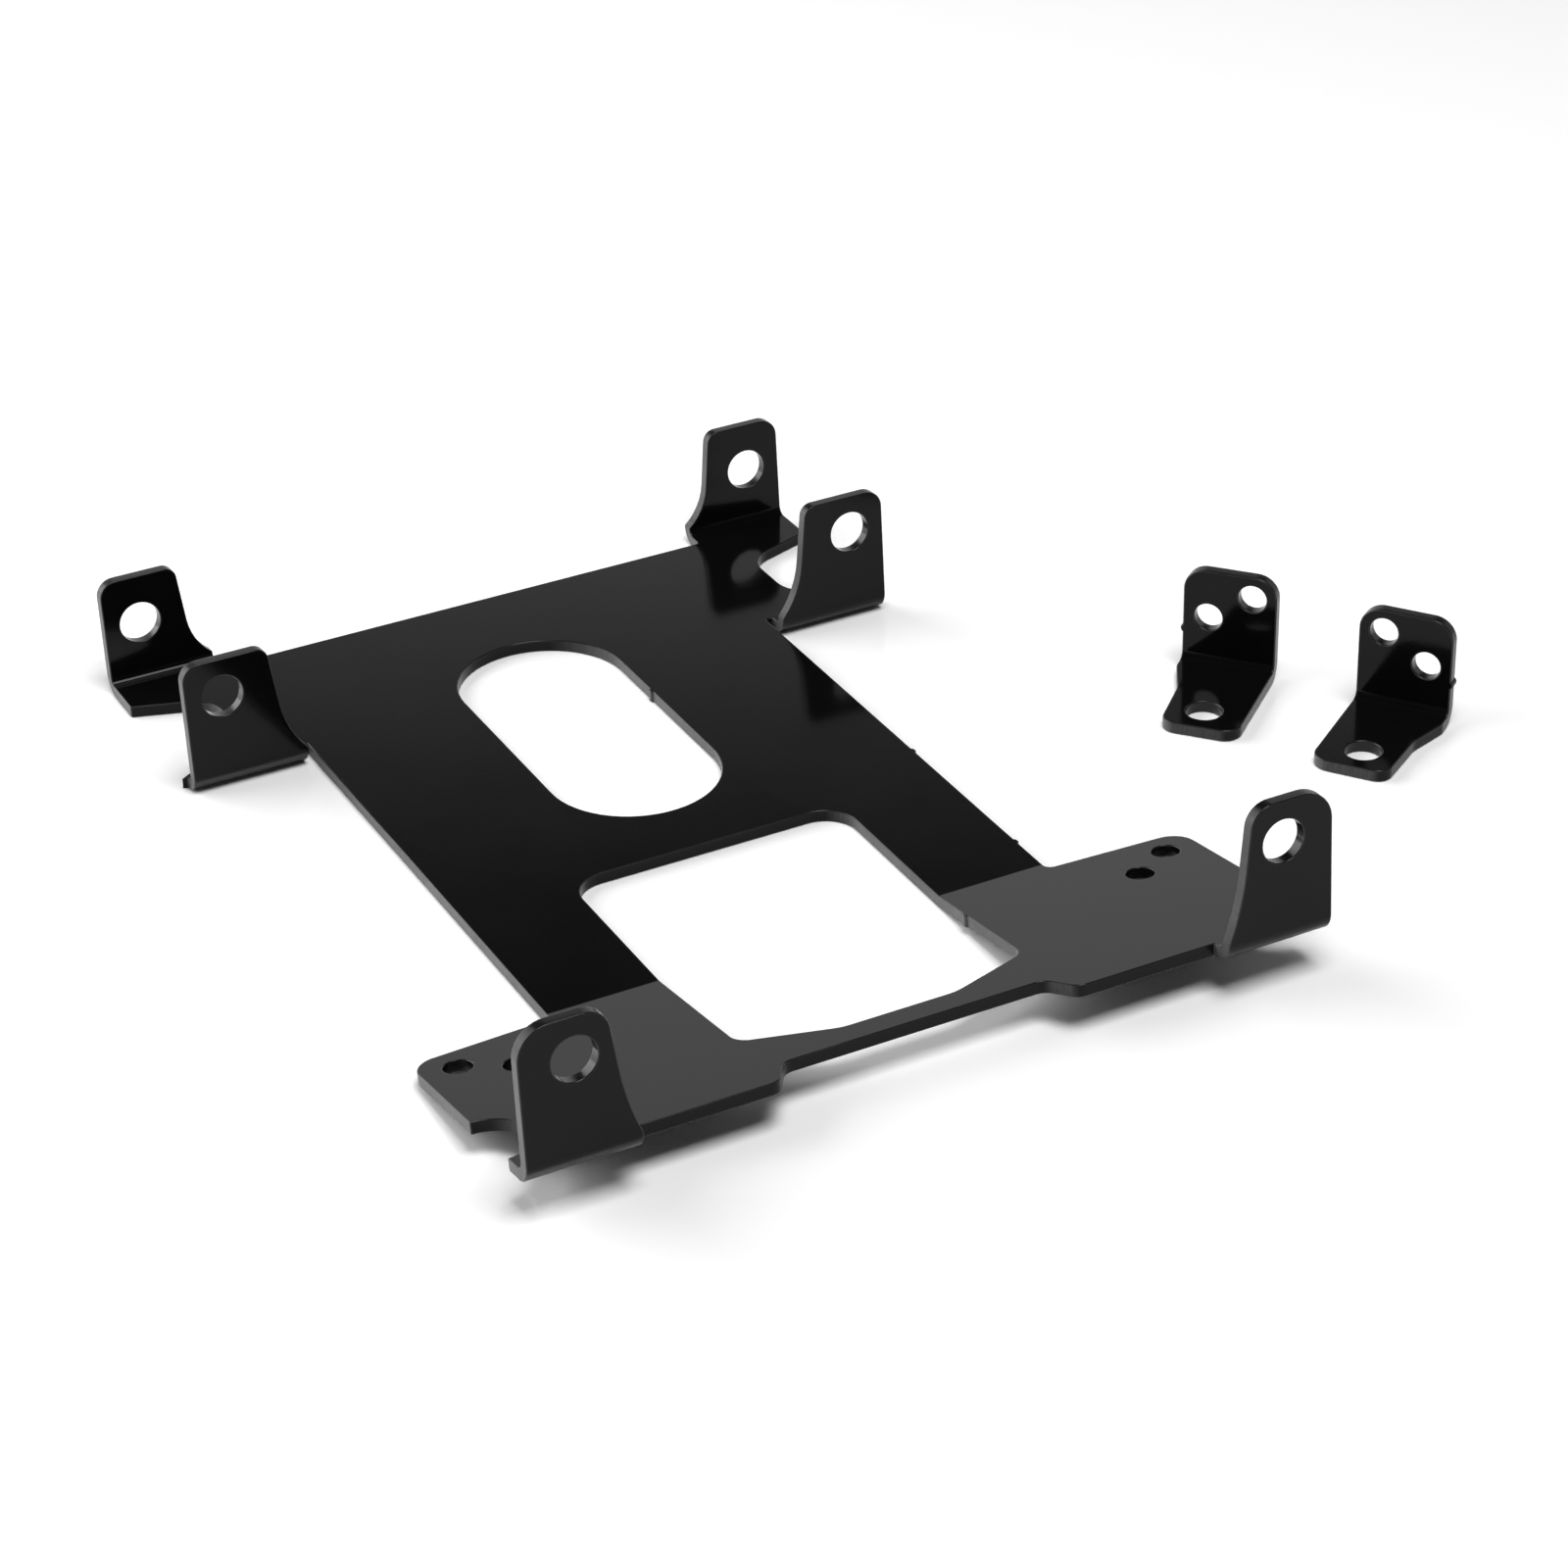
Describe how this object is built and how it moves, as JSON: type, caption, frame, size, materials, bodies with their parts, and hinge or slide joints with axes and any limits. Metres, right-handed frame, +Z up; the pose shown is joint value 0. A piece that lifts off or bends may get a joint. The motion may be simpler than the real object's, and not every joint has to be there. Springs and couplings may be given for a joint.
{
  "type": "atv snow plow mount kit",
  "caption": "ATV snow plow mount: black bent steel plate with window, slot, wings and upstanding pin ears, with loose L-shaped angle brackets.",
  "frame": {"origin": "underside of the plate's flat field, on the plate's centre plane, in the middle of the bridge between the window and the slot", "axes": "+Z up, square with the flat field; +Y to the rear, towards the rearmost ears; +X to the right, the side where the loose brackets lie"},
  "size_m": [0.4458, 0.4077, 0.0728],
  "materials": {
    "plate_black": "gloss black powder coat",
    "bracket_black": "gloss black powder coat"
  },
  "bodies": {
    "plate": {"mount_plate": "plate_black"},
    "bracket_left": {"angle_bracket_left": "bracket_black"},
    "bracket_right": {"angle_bracket_right": "bracket_black"}
  },
  "joints": [
    {"name": "left_bracket_lift", "type": "slide", "parent": "plate", "child": "bracket_left", "axis": [0, 0, 1], "range_m": [0, 0.12]},
    {"name": "right_bracket_lift", "type": "slide", "parent": "plate", "child": "bracket_right", "axis": [0, 0, 1], "range_m": [0, 0.12]}
  ]
}
